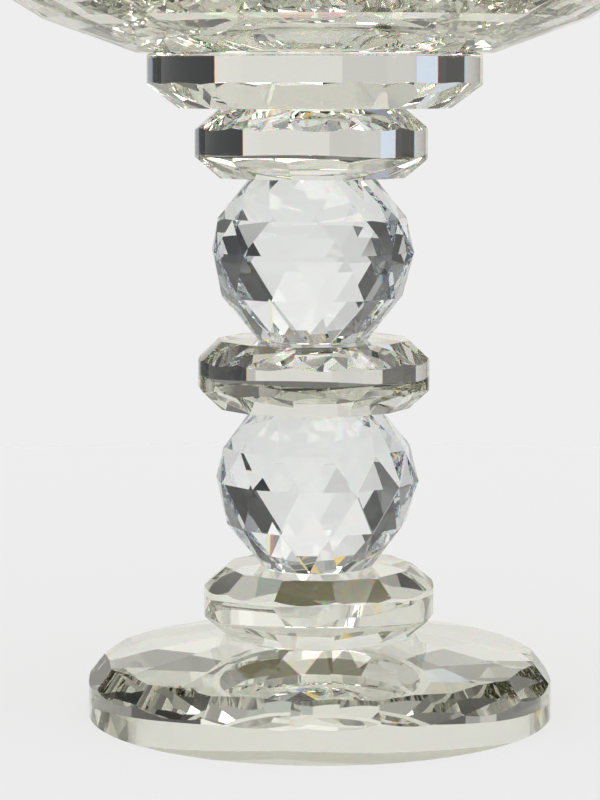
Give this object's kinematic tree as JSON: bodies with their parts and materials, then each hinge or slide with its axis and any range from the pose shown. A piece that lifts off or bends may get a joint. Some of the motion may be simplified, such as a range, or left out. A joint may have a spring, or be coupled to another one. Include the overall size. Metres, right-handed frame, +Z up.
{
  "type": "candlestick",
  "caption": "Cut-crystal candlestick: faceted foot, stem of bonded collars and faceted balls, and a wide faceted bowl that holds a candle.",
  "frame": {"origin": "centre of the foot's underside, on the table", "axes": "+Z up along the stem's axis, -Y towards the viewer of the picture, +X to the viewer's right"},
  "size_m": [0.1946, 0.1946, 0.2138],
  "materials": {
    "slab_crystal": "polished, faintly warm green in the depth",
    "ball_crystal": "polished, neutral and very clear",
    "bond_resin": "clear cured adhesive film"
  },
  "bodies": {
    "root": {"foot": "slab_crystal", "bond_foot_to_lower_collar": "bond_resin", "lower_collar": "slab_crystal", "bond_lower_collar_to_lower_ball": "bond_resin", "lower_ball": "ball_crystal", "bond_lower_ball_to_middle_collar": "bond_resin", "middle_collar": "slab_crystal", "bond_middle_collar_to_upper_ball": "bond_resin", "upper_ball": "ball_crystal", "bond_upper_ball_to_upper_collar": "bond_resin", "upper_collar": "slab_crystal", "bond_upper_collar_to_plate": "bond_resin", "bowl_plate": "slab_crystal", "bond_plate_to_bowl": "bond_resin", "bowl": "slab_crystal"}
  },
  "joints": []
}
